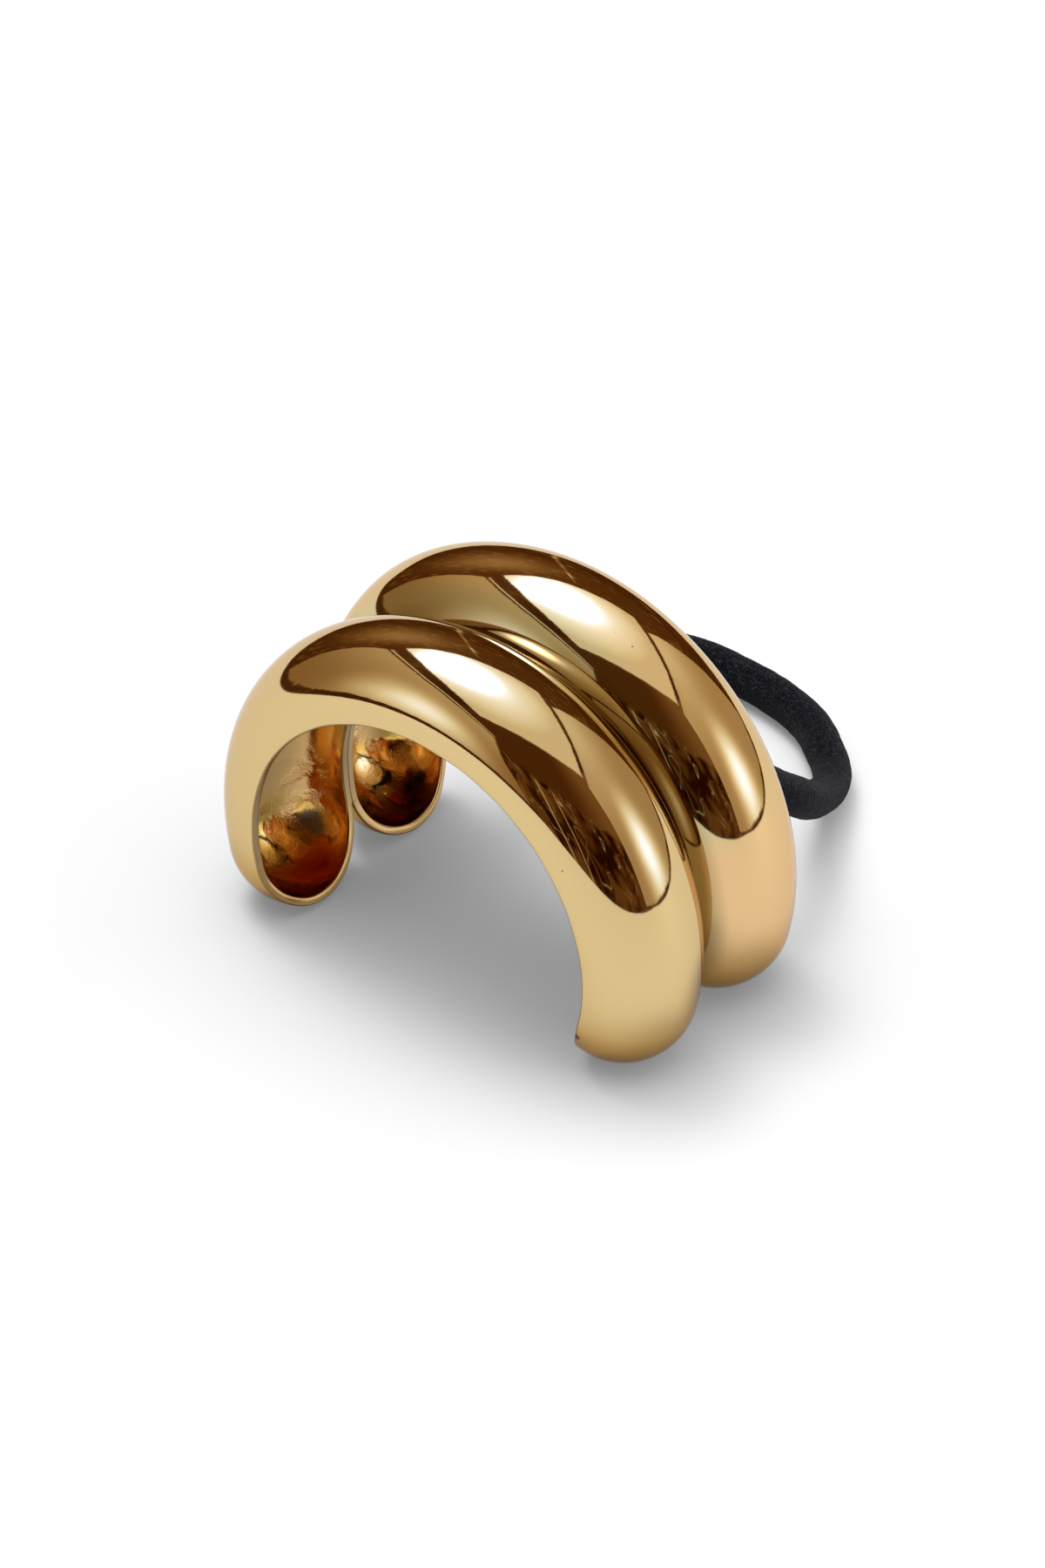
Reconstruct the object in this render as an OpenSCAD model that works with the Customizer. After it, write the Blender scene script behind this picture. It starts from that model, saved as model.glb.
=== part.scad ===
// Ponytail cuff: an open, C-shaped shell of two half-round ribs side by side, hollow and open
// towards the hair, with a small bar inside it that a ring of hair elastic is threaded over.
// It stands on the round ends of its ribs, on z = 0. X runs from end to end, Y along the ponytail.

/* [Opening] */
// Radius of the round opening that the ponytail lies in
opening_r = 19.8; // [17:0.1:24]
// Angle from the top of the arch down to where the ribs start to round off
end_angle = 102; // [85:1:115]

/* [Ribs] */
// Outside radius of each half-round rib
rib_r = 7.2; // [6:0.1:8.5]
// Thickness of the cast wall
wall_t = 0.9; // [0.7:0.05:1.4]
// How far the walls of the two ribs run into each other where they meet
join_w = 0.1; // [0.06:0.02:0.4]

/* [Elastic bar] */
// Diameter of the bar that holds the elastic
bar_d = 1.6; // [1.2:0.1:2.2]
// Height of the bar's axis above the edge of the opening, inside the rear rib
bar_lift = 0.6; // [0.2:0.1:1]
// How far each end of the bar is soldered into the wall
bar_seat = 0.4; // [0.2:0.05:0.5]

/* [Hair elastic] */
// Thickness of the elastic
elastic_d = 4; // [3:0.1:4.4]
// Height at which the elastic lies clear of the surface
elastic_clear = 0.05; // [0.02:0.01:0.2]

/* [Hidden] */
$fn = 96;

GOLD = [0.86, 0.66, 0.32];
BLACK = [0.05, 0.05, 0.06];

// Radius of the hollow inside a rib
hollow_r = rib_r - wall_t;
// Distance of each rib's middle plane from the middle of the cuff
rib_y = rib_r - join_w / 2;
// More than the width over both ribs, for the cuts that run right through
cut_w = 5 * rib_r;
// How far the round ends' walls lie inside the arch's wall, and how far they reach into it
end_step = 0.03;
end_lap = 0.5;
// Height of the opening's axis when the round ends stand on z = 0
arch_z = rib_r - end_step - opening_r * cos(end_angle);

// Corners of the elastic's round section, of which 8 to 12 are enough
ELASTIC_SIDES = 10;
// Height of the elastic's centre where it lies on the surface
lie = elastic_d / 2 + elastic_clear;
// The ring of elastic: over the bar, down inside the right leg, along the surface behind the
// cuff from right to left, and up inside the left leg. Its last point is next to its first.
RING = [
  [0, 7, 34.8], [4, 7, 33.8], [7.5, 7.5, 31], [11, 9.5, 26.5], [13.5, 12.5, 21.5],
  [15.5, 16, 17], [16.5, 20, 13], [16.5, 23.5, 10], [15.5, 27, 7], [14.5, 30, 5],
  [13, 34, 3], [11, 37.5, lie], [8.5, 40, lie], [5.5, 42, lie], [2, 43, lie],
  [-2, 44, lie], [-6, 44.5, lie], [-10, 44.5, lie], [-14, 43.5, lie], [-17.5, 41.5, lie],
  [-20, 38.5, lie], [-21.5, 34.5, 2.5], [-21.5, 30.5, 4.5], [-20.5, 26.5, 7], [-19, 22.5, 10],
  [-17, 18.5, 13.5], [-15, 14.5, 18], [-13, 11.5, 22.5], [-10.5, 9, 27], [-7.5, 7.5, 31],
  [-4, 7, 33.8]
];
// A direction that the ring never runs along, which its sections are turned to
RING_SIDE = [0, 0.6, 0.8];

function unit(v) = v / norm(v);
function along(points, i) =
  let (n = len(points)) unit(points[(i + 1) % n] - points[(i + n - 1) % n]);
function section(centre, way, side, r, sides) =
  let (u = unit(cross(way, side)), v = cross(way, u))
  [for (k = [0 : sides - 1]) let (a = 360 * (k + 0.5) / sides) centre + r * (cos(a) * u + sin(a) * v)];

// A closed ring of round section that follows the points
module ring_tube(points, d, sides, side) {
  n = len(points);
  corners = [for (i = [0 : n - 1]) each section(points[i], along(points, i), side, d / 2, sides)];
  faces = [
    for (i = [0 : n - 1], k = [0 : sides - 1])
      let (j = (i + 1) % n, m = (k + 1) % sides)
      each [
        [i * sides + k, j * sides + k, j * sides + m],
        [i * sides + k, j * sides + m, i * sides + m]
      ]
  ];
  polyhedron(corners, faces);
}

// The wall's section: two half rings side by side, open towards the opening's axis
module wall_section()
  difference() {
    for (side = [-1, 1]) translate([0, side * rib_y]) circle(rib_r);
    for (side = [-1, 1]) translate([0, side * rib_y]) circle(hollow_r);
    translate([-2 * rib_r, -cut_w / 2]) square([2 * rib_r, cut_w]);
  }

// A ball on each rib's middle line, at the end of the arch
module balls(r)
  for (side = [-1, 1]) translate([opening_r, 0, side * rib_y]) sphere(r);

// The round ends of both ribs at one end of the arch, hollow like the ribs. Their wall is thinner
// by a hair on both sides and starts inside the arch's wall, so that the two make one solid.
module round_ends()
  difference() {
    balls(rib_r - end_step);
    balls(hollow_r + end_step);
    cylinder(r = opening_r + end_step, h = cut_w, center = true);
    translate([0, -cut_w - end_lap, -cut_w / 2]) cube([2 * cut_w, cut_w, cut_w]);
  }

// Both ribs with their round ends, cast as one shell that is open all along the inside
module ribs()
  rotate([90, 0, 0]) rotate(90 - end_angle) {
    rotate_extrude(angle = 2 * end_angle) translate([opening_r, 0]) wall_section();
    mirror([0, 1, 0]) round_ends();
    rotate(2 * end_angle) round_ends();
  }

// The bar across the rear rib's hollow, soldered into the wall at both ends
module elastic_bar() {
  half = sqrt(pow(hollow_r, 2) - pow(bar_lift, 2)) + bar_seat;
  translate([0, rib_y, opening_r + bar_lift])
    rotate([90, 0, 0]) cylinder(d = bar_d, h = 2 * half, center = true);
}

module cuff()
  color(GOLD) translate([0, 0, arch_z]) {
    ribs();
    elastic_bar();
  }

module hair_elastic()
  color(BLACK) ring_tube(RING, elastic_d, ELASTIC_SIDES, RING_SIDE);

cuff();
hair_elastic();
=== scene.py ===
import math

import bmesh
import bpy
from mathutils import Matrix, Vector, noise


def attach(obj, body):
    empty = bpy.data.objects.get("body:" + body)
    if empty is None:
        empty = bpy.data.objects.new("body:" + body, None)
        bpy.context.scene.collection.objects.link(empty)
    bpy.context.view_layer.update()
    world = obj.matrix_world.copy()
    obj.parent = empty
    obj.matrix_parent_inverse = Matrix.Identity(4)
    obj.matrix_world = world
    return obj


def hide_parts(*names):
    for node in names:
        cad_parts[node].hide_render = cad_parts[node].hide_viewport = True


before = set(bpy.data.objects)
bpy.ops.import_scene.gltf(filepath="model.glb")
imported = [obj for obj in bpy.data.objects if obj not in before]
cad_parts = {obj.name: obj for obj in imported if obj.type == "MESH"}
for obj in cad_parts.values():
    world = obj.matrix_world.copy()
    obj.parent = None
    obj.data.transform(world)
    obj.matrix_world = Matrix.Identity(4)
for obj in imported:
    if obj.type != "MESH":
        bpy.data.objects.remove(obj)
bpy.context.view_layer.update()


# Camera: a long lens that looks down on the cuff from in front and from its right, so that one
# leg comes forward, the other stands off to the right and the inside of the arch shows.
CAMERA_TURN = math.radians(38.05)
CAMERA_RISE = math.radians(37.09)
CAMERA_ROLL = math.radians(0.06)
CAMERA_REACH = 0.8313
CAMERA_LENS = 201.4
CAMERA_AIM = Vector((0.00163, 0, 0.01848))
CAMERA_SENSOR = 36
CAMERA_FAR = 10
MAX_BOUNCES = 16
MIRROR_BOUNCES = 10

camera_back = Vector((
    math.sin(CAMERA_TURN) * math.cos(CAMERA_RISE),
    -math.cos(CAMERA_TURN) * math.cos(CAMERA_RISE),
    math.sin(CAMERA_RISE),
))
level_right = Vector((math.cos(CAMERA_TURN), math.sin(CAMERA_TURN), 0))
level_up = camera_back.cross(level_right)
camera_right = level_right * math.cos(CAMERA_ROLL) + level_up * math.sin(CAMERA_ROLL)
camera_up = level_up * math.cos(CAMERA_ROLL) - level_right * math.sin(CAMERA_ROLL)
camera_axes = Matrix((camera_right, camera_up, camera_back)).transposed().to_4x4()

bpy.ops.object.camera_add()
camera = bpy.context.object
camera.name = "photo_camera"
camera.matrix_world = Matrix.Translation(CAMERA_AIM + camera_back * CAMERA_REACH) @ camera_axes
camera.data.lens = CAMERA_LENS
camera.data.sensor_width = CAMERA_SENSOR
camera.data.clip_end = CAMERA_FAR
bpy.context.scene.camera = camera
bpy.context.scene.view_settings.view_transform = "Standard"
# Gold mirrors gold many times inside the hollows. It throws no gold light on the table.
bpy.context.scene.cycles.max_bounces = MAX_BOUNCES
bpy.context.scene.cycles.glossy_bounces = MIRROR_BOUNCES
bpy.context.scene.cycles.caustics_reflective = False


# Hair elastic: one ring of thick black elastic, a rubber core under a knitted sleeve. It is
# threaded over the bar inside the rear rib, and lies on the surface behind the cuff.
ELASTIC_WIDE = 0.004
ELASTIC_LIE = 0.00205
ELASTIC_STEPS = 16
ELASTIC_SIDES = 40
ELASTIC_ROUTE = [
    (0, 0.007, 0.0348), (0.004, 0.007, 0.0338), (0.0075, 0.0075, 0.031),
    (0.011, 0.0095, 0.0265), (0.0135, 0.0125, 0.0215), (0.0155, 0.016, 0.017),
    (0.0165, 0.02, 0.013), (0.0165, 0.0235, 0.01), (0.0155, 0.027, 0.007),
    (0.0145, 0.03, 0.005), (0.013, 0.034, 0.003), (0.0109, 0.0374, ELASTIC_LIE),
    (0.0082, 0.0398, ELASTIC_LIE), (0.0053, 0.0419, ELASTIC_LIE), (0.002, 0.0433, ELASTIC_LIE),
    (-0.002, 0.0442, ELASTIC_LIE), (-0.006, 0.0445, ELASTIC_LIE), (-0.01, 0.0445, ELASTIC_LIE),
    (-0.014, 0.0435, ELASTIC_LIE), (-0.0175, 0.0415, ELASTIC_LIE), (-0.02, 0.0385, ELASTIC_LIE),
    (-0.0215, 0.0345, 0.0025), (-0.0215, 0.0305, 0.0045), (-0.0205, 0.0265, 0.007),
    (-0.019, 0.0225, 0.01), (-0.017, 0.0185, 0.0135), (-0.015, 0.0145, 0.018),
    (-0.013, 0.0115, 0.0225), (-0.0105, 0.009, 0.027), (-0.0075, 0.0075, 0.031),
    (-0.004, 0.007, 0.0338),
]


class Wire:
    """A shader socket that can stand in a sum."""

    def __init__(self, tree, socket):
        self.tree = tree
        self.socket = socket

    def maths(self, operation, *others):
        node = self.tree.nodes.new("ShaderNodeMath")
        node.operation = operation
        for slot, value in zip(node.inputs, others):
            plug(self.tree, slot, value)
        return Wire(self.tree, node.outputs[0])

    def __add__(self, other):
        return self.maths("ADD", self, other)

    __radd__ = __add__

    def __sub__(self, other):
        return self.maths("SUBTRACT", self, other)

    def __rsub__(self, other):
        return self.maths("SUBTRACT", other, self)

    def __mul__(self, other):
        return self.maths("MULTIPLY", self, other)

    __rmul__ = __mul__

    def __truediv__(self, other):
        return self.maths("DIVIDE", self, other)

    def __rtruediv__(self, other):
        return self.maths("DIVIDE", other, self)

    def __pow__(self, other):
        return self.maths("POWER", self, other)

    def __gt__(self, other):
        return self.maths("GREATER_THAN", self, other)

    def __lt__(self, other):
        return self.maths("LESS_THAN", self, other)

    def sine(self):
        return self.maths("SINE", self)


def plug(tree, slot, value):
    if isinstance(value, Wire):
        tree.links.new(value.socket, slot)
    else:
        slot.default_value = value


class Finish:
    """A node tree, and the one method that adds nodes to it."""

    def __init__(self, tree):
        self.tree = tree
        tree.nodes.clear()

    def add(self, kind, settings=None, values=None, out=0):
        node = self.tree.nodes.new("ShaderNode" + kind)
        for name, setting in (settings or {}).items():
            if name == "stops":
                ramp = node.color_ramp
                while len(ramp.elements) < len(setting):
                    ramp.elements.new(0.5)
                for element, (place, colour) in zip(ramp.elements, setting):
                    element.position = place
                    element.color = (*colour, 1)
            else:
                setattr(node, name, setting)
        for name, value in (values or {}).items():
            plug(self.tree, node.inputs[name], value)
        return Wire(self.tree, node.outputs[out]) if node.outputs else None


def new_material(name):
    material = bpy.data.materials.new(name)
    material.use_nodes = True
    return material, Finish(material.node_tree)


def split(finish, vector):
    """The three parts of a vector in a node tree."""
    first = finish.add("SeparateXYZ", values={"Vector": vector})
    return [Wire(finish.tree, slot) for slot in first.socket.node.outputs]


def smooth_route(points, steps):
    """Points on a closed, smooth curve through the given points."""
    count = len(points)
    route = []
    for i in range(count):
        before, start, end, after = (Vector(points[(i + k) % count]) for k in (-1, 0, 1, 2))
        for step in range(steps):
            t = step / steps
            route.append(
                0.5 * (
                    2 * start + (end - before) * t
                    + (2 * before - 5 * start + 4 * end - after) * t ** 2
                    + (3 * start - before - 3 * end + after) * t ** 3
                )
            )
    return route


def ring_sections(route):
    """Two directions across the closed route at each point, turned as little as may be."""
    count = len(route)
    ways = [(route[(i + 1) % count] - route[i - 1]).normalized() for i in range(count)]
    across = [ways[0].orthogonal().normalized()]
    for i in range(1, count + 1):
        turn = ways[i - 1].rotation_difference(ways[i % count])
        across.append(turn @ across[-1])
    slip = across[-1].angle(across[0])
    if across[-1].cross(across[0]).dot(ways[0]) < 0:
        slip = -slip
    sections = []
    for i in range(count):
        side = Matrix.Rotation(slip * i / count, 3, ways[i]) @ across[i]
        sections.append((side, ways[i].cross(side)))
    return sections


BEND_PLACE = Vector((0.0135, 0.033, 0.003))
BEND_REACH = 0.006
BEND_THINNER = 0.08
LUMP_SCALE, LUMP_HEIGHT = 900, 0.00004
FUZZ_SCALE, FUZZ_HEIGHT = 3500, 0.00002


def thickness(centre):
    """Thickness of the elastic, which is pulled thinner round its right bend."""
    pulled = math.exp(-((centre - BEND_PLACE).length / BEND_REACH) ** 2)
    return ELASTIC_WIDE * (1 - BEND_THINNER * pulled)


elastic_route = smooth_route(ELASTIC_ROUTE, ELASTIC_STEPS)
elastic_mesh = bpy.data.meshes.new("knitted_elastic")
elastic_points = []
for centre, (side, rise) in zip(elastic_route, ring_sections(elastic_route)):
    for k in range(ELASTIC_SIDES):
        turn = 2 * math.pi * k / ELASTIC_SIDES
        point = centre + (side * math.cos(turn) + rise * math.sin(turn)) * (
            thickness(centre) / 2)
        uneven = (noise.noise(point * LUMP_SCALE) * LUMP_HEIGHT
                  + noise.noise(point * FUZZ_SCALE) * FUZZ_HEIGHT)
        point += (point - centre).normalized() * uneven
        elastic_points.append(point)
elastic_faces = []
for i in range(len(elastic_route)):
    j = (i + 1) % len(elastic_route)
    for k in range(ELASTIC_SIDES):
        m = (k + 1) % ELASTIC_SIDES
        elastic_faces.append([
            i * ELASTIC_SIDES + k, i * ELASTIC_SIDES + m,
            j * ELASTIC_SIDES + m, j * ELASTIC_SIDES + k,
        ])
elastic_mesh.from_pydata(elastic_points, [], elastic_faces)
elastic_uv = elastic_mesh.uv_layers.new(name="around")
for index, polygon in enumerate(elastic_mesh.polygons):
    i, k = divmod(index, ELASTIC_SIDES)
    for loop, (di, dk) in zip(polygon.loop_indices, ((0, 0), (0, 1), (1, 1), (1, 0))):
        elastic_uv.data[loop].uv = ((i + di) / len(elastic_route), (k + dk) / ELASTIC_SIDES)
elastic = bpy.data.objects.new("knitted_elastic", elastic_mesh)
bpy.context.collection.objects.link(elastic)
for polygon in elastic_mesh.polygons:
    polygon.use_smooth = True

KNIT_ROUNDS = 26
KNIT_ROWS = 300
ROW_WAVE = 0.12
FIBRE_SCALE = 4500
PILE_SCALE = 1300
STITCH_HEIGHT = 0.25
FIBRE_HEIGHT = 2.4
KNIT_DEPTH = 0.00012
# Painted shade: the knit is coloured darker within about 3 mm of the table, under the elastic.
PAINTED_SHADE_FROM, PAINTED_SHADE_TO = 0.0004, 0.003
PAINTED_SHADE_DARK = 0.30
KNIT_COLOURS = [
    (0.25, (0.0006, 0.0009, 0.0013)),
    (0.5, (0.0034, 0.0029, 0.005)),
    (0.68, (0.037, 0.033, 0.049)),
]
elastic_knit, knit = new_material("black_knit")
knit_along, knit_around, _ = split(knit, knit.add("TexCoord", out=2))
wale = (knit_around * (KNIT_ROUNDS * 2 * math.pi)).sine()
row = ((knit_along * KNIT_ROWS + wale * ROW_WAVE) * (2 * math.pi)).sine()
knit_place = knit.add("TexCoord", out=3)
fibre = knit.add("TexNoise", values={
    "Vector": knit_place, "Scale": FIBRE_SCALE, "Detail": 2, "Roughness": 0.7,
})
pile = knit.add("TexNoise", values={"Vector": knit_place, "Scale": PILE_SCALE, "Detail": 1})
knit_bump = knit.add("Bump", values={
    "Height": wale * STITCH_HEIGHT + row * STITCH_HEIGHT + fibre * FIBRE_HEIGHT,
    "Strength": 0.6, "Distance": KNIT_DEPTH,
})
# Painted shade near the table, fed into the knit's colour below.
clear_of_table = knit.add("MapRange", {"interpolation_type": "SMOOTHSTEP"}, {
    "Value": split(knit, knit_place)[2], "From Min": PAINTED_SHADE_FROM, "From Max": PAINTED_SHADE_TO})
knit_colour = knit.add("ValToRGB", {"stops": KNIT_COLOURS}, {
    "Fac": fibre * 0.8 + pile * 0.2 + (clear_of_table - 1) * PAINTED_SHADE_DARK})
knit_cloth = knit.add("BsdfPrincipled", values={
    "Base Color": knit_colour, "Roughness": 0.85, "Normal": knit_bump,
    "Sheen Weight": 0.05, "Sheen Roughness": 0.5, "Specular IOR Level": 0.05,
})
knit.add("OutputMaterial", values={"Surface": knit_cloth})
elastic_mesh.materials.append(elastic_knit)
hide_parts("hair_elastic")
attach(elastic, "root")
[tuple(point) for point in elastic_route + elastic_route[:1]]


# Cuff: two half-round ribs cast side by side as one hollow shell of brass, with round ends,
# filed along the edge of the opening, polished outside, left as cast inside, and gold plated.
OPENING_R = 0.0198
END_ANGLE = 102
RIB_R = 0.0072
WALL = 0.0009
RIB_Y = 0.00715
RIB_LEAN = 0.05
LEG_LEAN = 0.02
SHOULDER = 0.0004
ARCH_Z = 0.011287
ARCH_STEPS = 180
ROUND_STEPS = 128
END_SLACK = 0.1
HAIR = 1e-6
SEAM = 3e-6
MIDDLE = 2e-5


def deselect_all():
    for thing in bpy.context.selected_objects:
        thing.select_set(False)


def select_only(thing):
    deselect_all()
    thing.select_set(True)
    bpy.context.view_layer.objects.active = thing


def delete_points(thing, unwanted):
    """Delete the points of a mesh that a test on their place picks out."""
    mesh = bmesh.new()
    mesh.from_mesh(thing.data)
    gone = [point for point in mesh.verts if unwanted(point.co)]
    bmesh.ops.delete(mesh, geom=gone, context="VERTS")
    mesh.to_mesh(thing.data)
    mesh.free()


def place_in_mesh(thing):
    select_only(thing)
    bpy.ops.object.transform_apply(location=True, rotation=True, scale=True)


def arch_angle(place):
    """How far round from the top of the arch a place is, in degrees."""
    return math.degrees(math.atan2(place.x, place.z - ARCH_Z))


def arch_radius(place):
    return math.hypot(place.x, place.z - ARCH_Z)


deselect_all()
bpy.ops.mesh.primitive_torus_add(
    major_segments=ARCH_STEPS, minor_segments=ROUND_STEPS, major_radius=OPENING_R,
    minor_radius=RIB_R, location=(0, -RIB_Y, ARCH_Z), rotation=(math.pi / 2, 0, 0),
)
cuff = bpy.context.object
cuff.name = "gold_cuff"
place_in_mesh(cuff)
delete_points(cuff, lambda place: abs(arch_angle(place)) > END_ANGLE + END_SLACK
              or arch_radius(place) < OPENING_R - HAIR)


NEARLY_ONWARD, NEARLY_SIDEWAYS = 0.9999, 1e-9


def rim_height(turn):
    """The sine of the latitude at which a ball on the arch meets the round opening."""
    lean = math.cos(turn) ** 2
    if lean > NEARLY_ONWARD:
        return -RIB_R / (2 * OPENING_R)
    if lean < NEARLY_SIDEWAYS:
        return 0
    root = math.sqrt(OPENING_R ** 2 - RIB_R ** 2 * (1 - lean) * lean)
    return (root - OPENING_R) / (RIB_R * (1 - lean))


for way in (-1, 1):
    end = math.radians(way * END_ANGLE)
    outward = Vector((math.sin(end), 0, math.cos(end)))
    onward = Vector((math.cos(end), 0, -math.sin(end))) * way
    centre = Vector((0, -RIB_Y, ARCH_Z)) + outward * OPENING_R
    deselect_all()
    bpy.ops.mesh.primitive_uv_sphere_add(
        segments=ROUND_STEPS, ring_count=ROUND_STEPS // 2, radius=RIB_R,
        location=centre, rotation=(0, end, 0),
    )
    ball = bpy.context.object
    place_in_mesh(ball)
    delete_points(ball, lambda place: (place - centre).dot(onward) < -HAIR
                  or (place - centre).dot(outward) < -HAIR)
    for point in ball.data.vertices:
        out = point.co - centre
        turn = math.atan2(out.y, out.dot(onward))
        low = math.asin(rim_height(turn))
        flat_length = math.hypot(out.y, out.dot(onward))
        share = math.atan2(out.dot(outward), flat_length) / (math.pi / 2)
        latitude = low + (math.pi / 2 - low) * share
        flat = Vector((0, 1, 0)) * math.sin(turn) + onward * math.cos(turn)
        point.co = centre + (outward * math.sin(latitude) + flat * math.cos(latitude)) * RIB_R
    cuff.select_set(True)
    bpy.context.view_layer.objects.active = cuff
    bpy.ops.object.join()


def merge_points(thing, threshold):
    """Merge the points of a mesh that lie together, and turn its faces outwards."""
    select_only(thing)
    bpy.ops.object.mode_set(mode="EDIT")
    bpy.ops.mesh.select_all(action="SELECT")
    bpy.ops.mesh.remove_doubles(threshold=threshold)
    bpy.ops.mesh.normals_make_consistent(inside=False)
    bpy.ops.object.mode_set(mode="OBJECT")


merge_points(cuff, SEAM)


def apply_modifier(thing, name, kind, **settings):
    select_only(thing)
    modifier = thing.modifiers.new(name, kind)
    for key, value in settings.items():
        setattr(modifier, key, value)
    bpy.ops.object.modifier_apply(modifier=name)


apply_modifier(cuff, "wall", "SOLIDIFY", thickness=WALL, offset=-1)


def rib_height(place):
    """Height of a place above the plane that its rib's edge lies in."""
    angle = arch_angle(place)
    if abs(angle) <= END_ANGLE:
        return arch_radius(place) - OPENING_R
    end = math.radians(math.copysign(END_ANGLE, angle))
    return place.x * math.sin(end) + (place.z - ARCH_Z) * math.cos(end) - OPENING_R


def smooth(value, start, end):
    """A share that goes from 0 at the start to 1 at the end."""
    share = max(0, min(1, (value - start) / (end - start)))
    return share * share * (3 - 2 * share)


def rib_lean(place):
    """How far a rib leans outwards, per height, which is less on the right leg."""
    return RIB_LEAN + (LEG_LEAN - RIB_LEAN) * smooth(place.x, 0, OPENING_R)


for point in cuff.data.vertices:
    point.co.y -= rib_lean(point.co) * max(0, rib_height(point.co))
    if abs(point.co.y) < MIDDLE:
        point.co.y = 0
apply_modifier(cuff, "second_rib", "MIRROR", use_axis=(False, True, False),
               use_bisect_axis=(False, True, False), use_bisect_flip_axis=(False, True, False),
               merge_threshold=2e-6, bisect_threshold=1e-7)
merge_points(cuff, SEAM)


RIM_ROUND = 0.00016
RIM_WIDTH = 0.0006
SHARP = math.radians(50)


def bevel_edges(thing, wanted, **settings):
    """Bevel the edges of a mesh that a test on the edge picks out."""
    mesh = bmesh.new()
    mesh.from_mesh(thing.data)
    for edge in mesh.edges:
        edge.select_set(bool(wanted(edge)))
    mesh.select_flush_mode()
    mesh.to_mesh(thing.data)
    mesh.free()
    select_only(thing)
    bpy.ops.object.mode_set(mode="EDIT")
    bpy.ops.mesh.select_mode(type="EDGE")
    bpy.ops.mesh.bevel(**settings)
    bpy.ops.object.mode_set(mode="OBJECT")


def rim_gap(place):
    """How far a place is from the filed edge, measured square to the opening's axis."""
    return arch_radius(place) - OPENING_R


def is_corner(edge):
    return len(edge.link_faces) == 2 and edge.calc_face_angle() > SHARP


def is_on_rim(edge):
    return all(abs(rim_gap(point.co)) < RIM_WIDTH for point in edge.verts)


def is_between_ribs(edge):
    return all(abs(point.co.y) < MIDDLE for point in edge.verts)


for point in cuff.data.vertices:
    point.select = False
for edge in cuff.data.edges:
    edge.select = False
for polygon in cuff.data.polygons:
    polygon.select = False
bevel_edges(cuff, lambda edge: is_corner(edge) and is_on_rim(edge) and not is_between_ribs(edge),
            offset=RIM_ROUND, segments=3, clamp_overlap=False)
merge_points(cuff, HAIR)


def from_rib_middle(place):
    """Distance from the nearest rib's middle line, with its end points at the round ends."""
    angle = max(-END_ANGLE, min(END_ANGLE, arch_angle(place)))
    turn = math.radians(angle)
    side = math.copysign(RIB_Y + rib_lean(place) * max(0, rib_height(place)), place.y)
    middle = Vector((math.sin(turn) * OPENING_R, side, ARCH_Z + math.cos(turn) * OPENING_R))
    return (place - middle).length


PITS_AND_PAINTED_RIM_BROWN = (0.20, 0.11, 0.04, 1)
FILED_TAN_AND_PAINTED_LIGHT = (0.90, 0.63, 0.32, 1)
FOOT_SHADE_AMBER = (0.50, 0.255, 0.045, 1)
CAST_AMBER = (0.76, 0.46, 0.06, 1)
VALLEY_GOLD = (0.44, 0.31, 0.14, 1)
GRAZING_TINT = (0.86, 0.79, 0.74, 1)
PIT_SPACING, PIT_SIZE = 520, 0.06


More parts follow.
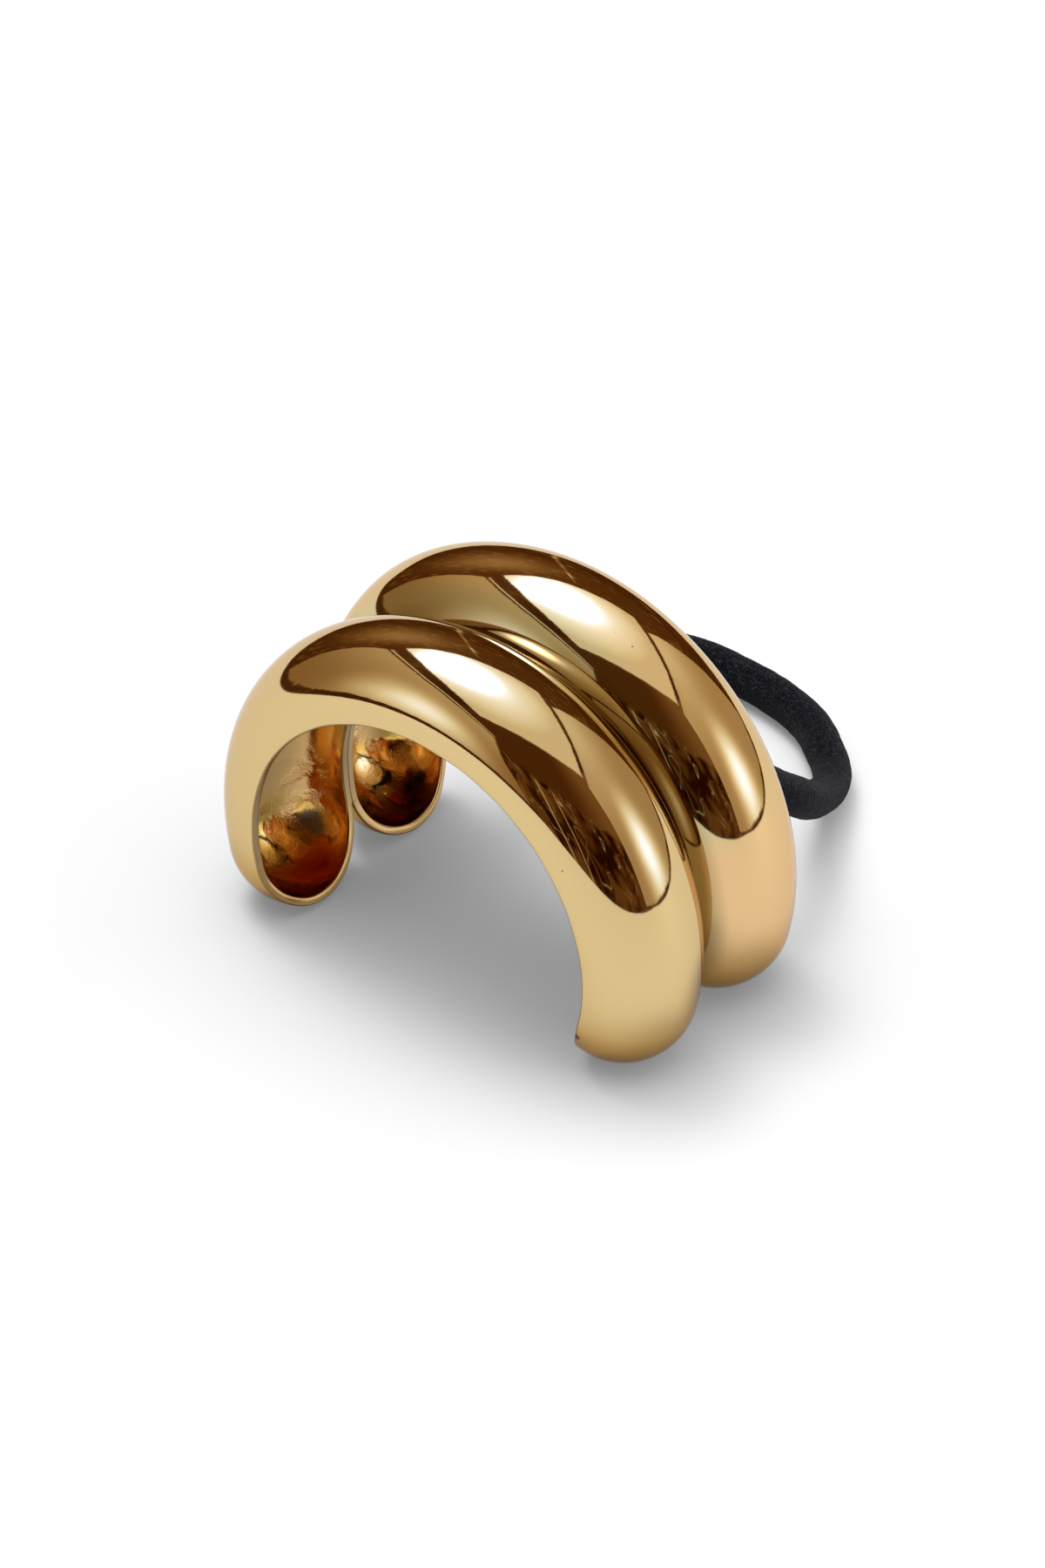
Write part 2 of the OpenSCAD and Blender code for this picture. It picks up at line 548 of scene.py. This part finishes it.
def plated_gold(name, colours, roughness, wave, grain, grain_scale, foot_shade_span, stain, spot):
    """Gold plating over cast brass, with the waves, grain and pits that polishing leaves.

    The colours are those of the front rib, the rear rib, the groove and the rear legs; on the
    rear rib the groove side and the legs are tinted as painted reflection colour. The stain is
    the share of casting amber, and the spot is one dark mark. The foot shade span is where the
    gold is painted darker towards the table, as painted shade. Dark lines along the rim's
    corners are painted reflection, and the filed land's lighter tan is partly painted light.
    """
    front_colour, rear_colour, groove_side_painted_colour, leg_painted_colour = colours
    spot_place, spot_size, spot_share, spot_colour = spot
    material, gold = new_material(name)
    place = gold.add("TexCoord", out=3)
    _, along_y, along_z = split(gold, place)

    def ramp(value, start, end):
        return gold.add("MapRange", {"interpolation_type": "SMOOTHSTEP"}, {
            "Value": value, "From Min": start, "From Max": end})

    def mix(share, low, high):
        return gold.add("Mix", {"data_type": "RGBA"}, {0: share, 6: low, 7: high}, out=2)

    def coarse(scale, detail, rough):
        return gold.add("TexNoise", values={
            "Vector": place, "Scale": scale, "Detail": detail, "Roughness": rough})

    rear = ramp(along_y, -0.001, 0.001)
    crown = ramp(along_y, 0.0015, 0.0045)
    leg = ramp(along_z, 0.0225, 0.0185)
    # Painted shade: the gold is darker and browner towards the table, standing in for the contact
    # shadow it reflects; inside, it darkens the bottoms of the round ends.
    foot_shade = ramp(along_z, *foot_shade_span)
    valley = ramp(along_y.maths("ABSOLUTE", along_y), 0.0022, 0.0007)
    swell = coarse(150, 1, 0.4)
    ripple = coarse(480, 1, 0.5)
    fine = coarse(grain_scale, 2, 0.6)
    pit_map = gold.add("TexVoronoi", {"feature": "F1"}, {
        "Vector": place, "Scale": PIT_SPACING})
    pit = (pit_map < PIT_SIZE) * (coarse(230, 1, 0.5) > 0.58)
    wall = gold.add("Attribute", {"attribute_name": "wall_depth"}, out=2)
    rim = gold.add("Attribute", {"attribute_name": "rim"}, out=2)
    # Painted reflection: dark lines along both corners of the rim stand in for the dark things a
    # rounded edge reflects; they are also made a little rougher.
    painted_rim_lines = (rim > 0.7) * ((wall < 0.15) + (wall > 0.87))
    # The filed land is a lighter tan: partly the filed metal's own colour, partly painted light
    # that brightens its dim reflection; it is also rougher.
    filed_land_and_painted_light = (rim > 0.6) * (wall > 0.13) * (wall < 0.87)
    from_spot = gold.add("VectorMath", {"operation": "DISTANCE"}, {0: place, 1: spot_place}, out=1)
    from_spot = from_spot / spot_size + (ripple - 0.5) * 1.6 + (fine - 0.5) * 0.6
    smudge = ramp(from_spot, 1, 0.47) * spot_share
    amber = ramp(ripple + (fine - 0.5) * 0.3, 0.48, 0.54) * ramp(along_z, 0.0085, 0.0060) * stain
    matt = ramp(coarse(700, 1, 0.5), 0.40, 0.62) * ramp(along_z, 0.014, 0.009) * 0.85 + 0.15
    height = swell * wave + ripple * (wave * 0.12) + fine * (matt * grain)
    bump = gold.add("Bump", values={"Height": height, "Strength": 1, "Distance": 0.001})
    # Painted reflection colour: the rear rib is tinted olive on its groove side and pink on its
    # legs, where the tent panels and the table show in it.
    rear_rib = mix(leg, mix(crown, (*groove_side_painted_colour, 1), (*rear_colour, 1)), (*leg_painted_colour, 1))
    plating = mix(rear, (*front_colour, 1), rear_rib)
    plating = mix(valley * (1 - stain), plating, VALLEY_GOLD)
    plating = mix(amber * 0.75, plating, CAST_AMBER)
    plating = mix(foot_shade * 0.95, plating, FOOT_SHADE_AMBER)
    # Partly painted light on the filed land.
    plating = mix(filed_land_and_painted_light * 0.5, plating, FILED_TAN_AND_PAINTED_LIGHT)
    # Real pits and the painted rim lines, in one brown.
    pits_and_painted_rim_lines = mix(painted_rim_lines * 0.65 + pit * 0.7, plating, PITS_AND_PAINTED_RIM_BROWN)
    shine = gold.add("BsdfPrincipled", values={
        "Base Color": mix(smudge, pits_and_painted_rim_lines, (*spot_colour, 1)), "Metallic": 1,
        "Roughness": fine * (roughness * 0.6) + painted_rim_lines * 0.15 + filed_land_and_painted_light * 0.12 + smudge * 0.3
        + roughness * 0.7,
        "Normal": bump, "Specular Tint": GRAZING_TINT,
    })
    gold.add("OutputMaterial", values={"Surface": shine})
    return material


FILE_SEED = 3
FILE_SCALE, FILE_WAVE = 330, 0.00007
SHOULDER_TOP, SHOULDER_LOW = (-14, -54), (-108, -72)
SHOULDER_SIDE, SHOULDER_HEIGHT = (0.0005, 0.005), (0, 0.004)
SHADE_ANGLE = math.radians(40)
INSIDE_SLACK = 0.00002
for attribute in ("wall_depth", "rim"):
    cuff.data.attributes.new(attribute, "FLOAT", "POINT")
wall_depth, rim_mark = (cuff.data.attributes[name] for name in ("wall_depth", "rim"))
for point, depth, mark in zip(cuff.data.vertices, wall_depth.data, rim_mark.data):
    depth.value = (RIB_R - from_rib_middle(point.co)) / WALL
    mark.value = max(0, 1 - abs(rim_gap(point.co)) / RIM_WIDTH)
# The seed gives the filed edge the same waves in every run.
noise.seed_set(FILE_SEED)
for point, mark in zip(cuff.data.vertices, rim_mark.data):
    point.co += noise.noise_vector(point.co * FILE_SCALE) * FILE_WAVE * mark.value
cuff.data.materials.append(plated_gold(
    "polished_gold",
    colours=((0.685, 0.505, 0.24), (0.72, 0.515, 0.235), (0.60, 0.55, 0.30), (0.75, 0.50, 0.245)),
    roughness=0.05, wave=0.025, grain=0.0006, grain_scale=3600, foot_shade_span=(0.0108, 0.0022),
    stain=0, spot=((0.01905, -0.01412, 0.0055), 0.00055, 0.9, (0.12, 0.05, 0.01)),
))
cuff.data.materials.append(plated_gold(
    "cast_gold",
    colours=((0.93, 0.59, 0.24),) * 4,
    roughness=0.08, wave=0.08, grain=0.035, grain_scale=6000, foot_shade_span=(0.0042, 0.0012),
    stain=0.85, spot=((-0.0222, -0.0026, 0.0046), 0.0019, 0.85, (0.16, 0.14, 0.11)),
))
for polygon in cuff.data.polygons:
    if from_rib_middle(polygon.center) < RIB_R - WALL + INSIDE_SLACK:
        polygon.material_index = 1
for point in cuff.data.vertices:
    angle = arch_angle(point.co)
    fuller = smooth(angle, *SHOULDER_TOP) * smooth(angle, *SHOULDER_LOW)
    fuller *= smooth(point.co.y, *SHOULDER_SIDE) * smooth(rib_height(point.co), *SHOULDER_HEIGHT)
    outward = Vector((point.co.x, 0, point.co.z - ARCH_Z)).normalized()
    point.co += outward * SHOULDER * fuller
select_only(cuff)
bpy.ops.object.shade_smooth_by_angle(angle=SHADE_ANGLE)


# Bar: a plain round wire inside the rear rib, soldered across its hollow for the elastic.
BAR_R = 0.0008
BAR_LIFT = 0.0006
BAR_SEAT = 0.0003
BAR_ROUND = 0.0001
bar_z = ARCH_Z + OPENING_R + BAR_LIFT
bar_half = math.sqrt((RIB_R - WALL) ** 2 - BAR_LIFT ** 2) + BAR_SEAT
deselect_all()
bpy.ops.mesh.primitive_cylinder_add(
    vertices=32, radius=BAR_R, depth=2 * bar_half, location=(0, RIB_Y, bar_z),
    rotation=(math.pi / 2, 0, 0),
)
bar = bpy.context.object
bar.name = "elastic_bar"
place_in_mesh(bar)
bpy.ops.object.mode_set(mode="EDIT")
bpy.ops.mesh.select_all(action="SELECT")
bpy.ops.mesh.bevel(offset=BAR_ROUND, segments=2)
bpy.ops.object.mode_set(mode="OBJECT")
bar.data.materials.append(cuff.data.materials[0])
bpy.ops.object.shade_smooth_by_angle(angle=SHADE_ANGLE)
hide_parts("cuff")
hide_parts("cuff")
for piece in (cuff, bar):
    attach(piece, "root")


# Table: a smooth white board that the cuff stands on. It glows a little, painted light that
# lifts its shadows, with no lamp below it. Its ends show in the polished gold.
TABLE_LEFT, TABLE_RIGHT, TABLE_NEAR, TABLE_FAR = -0.22, 0.34, -0.26, 0.46
TABLE_WHITE = (0.7175, 0.72, 0.7235, 1)
TABLE_PAINTED_GLOW = 0.16
away = Vector((-math.sin(CAMERA_TURN), math.cos(CAMERA_TURN), 0))
deselect_all()
bpy.ops.mesh.primitive_plane_add(
    size=1, location=(
        level_right * (TABLE_LEFT + TABLE_RIGHT) / 2 + away * (TABLE_NEAR + TABLE_FAR) / 2),
    rotation=(0, 0, CAMERA_TURN),
)
table = bpy.context.object
table.name = "white_board"
table.scale = (TABLE_RIGHT - TABLE_LEFT, TABLE_FAR - TABLE_NEAR, 1)
place_in_mesh(table)
board_white, board = new_material("white_board")
board.add("OutputMaterial", values={"Surface": board.add("BsdfPrincipled", values={
    "Base Color": TABLE_WHITE, "Roughness": 0.6, "Specular IOR Level": 0.2,
    # Painted light: the board's glow lifts its shadows.
    "Emission Color": (1, 1, 1, 1), "Emission Strength": TABLE_PAINTED_GLOW,
})})
table.data.materials.append(board_white)


# Light tent: cloth panels above and on both sides of the table, each with the glow of a lamp
# behind it, in a dark brown room. It lights the cuff and is all that the gold reflects.
studio = bpy.data.worlds.new("light_tent")
bpy.context.scene.world = studio
studio.use_nodes = True
tent = Finish(studio.node_tree)
look = tent.add("TexCoord", out=0)


def along_way(way):
    return tent.add("VectorMath", {"operation": "DOT_PRODUCT"}, {0: look, 1: tuple(way)}, out=1)


to_right = along_way(level_right)
to_back = along_way(away)
to_top = along_way((0, 0, 1))


def edge(value, start, end):
    return tent.add("MapRange", {"interpolation_type": "SMOOTHSTEP"}, {
        "Value": value, "From Min": start, "From Max": end})


def between(value, low, high, soft=0.015):
    return edge(value, low - soft, low + soft) * (1 - edge(value, high - soft, high + soft))


def at_least(value, least=0.001):
    return value.maths("MAXIMUM", value, least)


def distance(u, v, u_middle, v_middle):
    du, dv = u - u_middle, v - v_middle
    return (du * du + dv * dv) ** 0.5


def glow(far, wide):
    scaled = far / wide
    return scaled.maths("EXPONENT", scaled * scaled * -1)


def ragged(scale, detail, rough):
    """Noise round 0 over the directions, for sagging cloth and frayed edges."""
    return tent.add("TexNoise", values={
        "Vector": look, "Scale": scale, "Detail": detail, "Roughness": rough}) - 0.5


# Each panel is laid out flat on its side of the tent: u and v are the two directions across it,
# over the direction towards it. A panel is seen only where the look is towards it.
TOWARDS = 0.05
CRISP = 0.008
sag = ragged(5, 2, 0.5) * 0.06
frayed = ragged(26, 3, 0.7)

TOP_LEFT, TOP_RIGHT, TOP_FRONT, TOP_BACK = -0.70, 0.565, -0.56, 0.80
TOP_LAMP = (-0.30, 0.37)
LAMP_WIDE, LAMP_BRIGHT = 0.20, 22
above = at_least(to_top)
top_u, top_v = to_right / above + sag, to_back / above + sag
top_mask = (to_top > TOWARDS) * between(top_u + frayed * 0.07, TOP_LEFT, TOP_RIGHT, CRISP)
top_mask = top_mask * between(top_v, TOP_FRONT, TOP_BACK)
top_far = distance(top_u, top_v, *TOP_LAMP)
top_light = at_least(2.35 - top_far * 1.93, 0.8)
lamp = top_mask * glow(top_far, LAMP_WIDE) * LAMP_BRIGHT

RIGHT_FRONT, RIGHT_BACK, RIGHT_FOOT, RIGHT_TOP = -1.05, 0.95, -0.035, 1.57
RIGHT_LAMP = (-0.25, 0.19)
beside = at_least(to_right)
right_u, right_v = to_back / beside + sag, to_top / beside + sag
right_mask = (to_right > TOWARDS) * between(right_u, RIGHT_FRONT, RIGHT_BACK)
right_mask = right_mask * between(right_v + frayed * 0.05, RIGHT_FOOT, RIGHT_TOP, 0.01)
right_far = distance(right_u, right_v * 0.75, *RIGHT_LAMP)
right_light = (
    0.37 + 0.40 * edge(right_v, 0.4, 1.4) * (0.35 + 0.65 * edge(right_u, -0.9, 0.5))
    + glow(right_far, 0.27) * 1.7
)

LEFT_FRONT, LEFT_BACK, LEFT_FOOT, LEFT_TOP = -1.1, 0.86, -0.065, 1.0
LEFT_LAMP = (-0.40, 0.22)
SEAM_FOOT, SEAM_TOP, SEAM_LIGHT = 1.06, 1.09, 0.9
beyond = at_least(-1 * to_right)
left_u, left_v = to_back / beyond + sag, to_top / beyond + sag
left_side = (to_right < -TOWARDS) * between(left_u, LEFT_FRONT, LEFT_BACK)
left_mask = left_side * between(left_v + frayed * 0.09, LEFT_FOOT, LEFT_TOP, CRISP)
left_seam = left_side * between(left_v, SEAM_FOOT, SEAM_TOP, CRISP)
left_far = distance(left_u, left_v, *LEFT_LAMP)
left_light = 0.19 + 0.28 * edge(left_v, 0, 1.1) + glow(left_far, 0.32) * 1.35

# Behind the table: one upright of the tent, a dim patch of wall and spots of light.
STRUT_LEFT, STRUT_RIGHT = 0.078, 0.095
PATCH = (-0.42, 0.66)
is_back = to_back > TOWARDS
behind = at_least(to_back)
back_u, back_v = to_right / behind, to_top / behind
strut = is_back * between(back_u + frayed * 0.03, STRUT_LEFT, STRUT_RIGHT, 0.004)
strut = strut * (1 - edge(back_v, 0.9, 1.1))
patch = is_back * glow(distance(back_u, back_v, *PATCH), 0.34)
spots = tent.add("TexNoise", values={"Vector": look, "Scale": 17, "Detail": 4})
spots = is_back * edge(spots, 0.52, 0.75)

# In front of the table: two poles, a shelf and the clutter of the room.
POLES = ((-0.29, -0.27), (-0.50, -0.47))
CLUTTER_STRETCH = (5, 4, 3.0)
is_front = to_back < -TOWARDS
front = at_least(-1 * to_back)
front_u, front_v = to_right / front, to_top / front
poles = sum(between(front_u, *pole, 0.004) for pole in POLES)
poles = poles * is_front * between(front_v, -0.1, 0.55, 0.02)
cluttered = tent.add("CombineXYZ", values={
    "X": front_u * CLUTTER_STRETCH[0], "Y": front_v * CLUTTER_STRETCH[1],
    "Z": CLUTTER_STRETCH[2]})
clutter = tent.add("TexNoise", values={
    "Vector": cluttered, "Scale": 0.9, "Detail": 2, "Roughness": 0.5, "Distortion": 0.6})
thread = tent.add("TexNoise", values={
    "Vector": cluttered, "Scale": 0.8, "Detail": 1, "Roughness": 0.4, "Distortion": 0.5})
thread = thread.maths("ABSOLUTE", thread - 0.5)
clutter = edge(clutter, 0.4, 0.65) * 0.055 + (1 - edge(thread, 0.001, 0.005)) * 0.4 - 0.012
clutter = clutter * is_front * between(front_v, -0.12, 0.62, 0.05)
shelf = is_front * between(front_v, 0.62, 2.2, 0.05) * (0.015 + 0.08 * edge(front_u, 0.0, 0.8))

# The sum: the panels, and the room wherever no panel covers it.
DARKEST = 0.004
room = 0.016 + 0.024 * edge(to_back, -0.3, 0.3) * (0.45 + 0.55 * edge(to_top, 0.15, 0.5))
room = room + strut * (0.15 + spots * 0.5) + patch * 0.2 + poles * 0.3 + spots * 0.09
room = at_least(room + clutter + shelf, DARKEST)
covered = at_least(1 - top_mask - right_mask - left_mask - left_seam, 0)
light = (
    top_mask * top_light + right_mask * right_light + left_mask * left_light
    + left_seam * SEAM_LIGHT + covered * room
)

# Gold shows dim light browner and bright light paler than it is, up to a top brightness.
BRIGHTEST = 2.2
glare = light + lamp
dim = light.maths("MINIMUM", glare, 1)
bright = light.maths("MINIMUM", at_least(glare, 1), BRIGHTEST)
over = at_least(glare, BRIGHTEST) / BRIGHTEST
tint = tent.add("CombineColor", values={
    "Red": dim ** 0.7 * bright ** 0.65 * over, "Green": dim * bright * over,
    "Blue": dim ** 1.45 * bright ** 1.9 * over})
seen = tent.add("LightPath", out=0)
mirrored = tent.add("LightPath", out=3)
spread = light * 1.55 + lamp * 0.48
neutral = tent.add("CombineColor", values={"Red": spread, "Green": spread, "Blue": spread})
shown = tent.add("Background", values={"Color": (1, 1, 1, 1), "Strength": 1.0})
lit = tent.add("Background", values={"Strength": 1.0, "Color": tent.add(
    "Mix", {"data_type": "RGBA"}, {0: mirrored, 6: neutral, 7: tint}, out=2)})
tent.add("OutputWorld", values={"Surface": tent.add("MixShader", values={
    0: seen, 1: lit, 2: shown})})
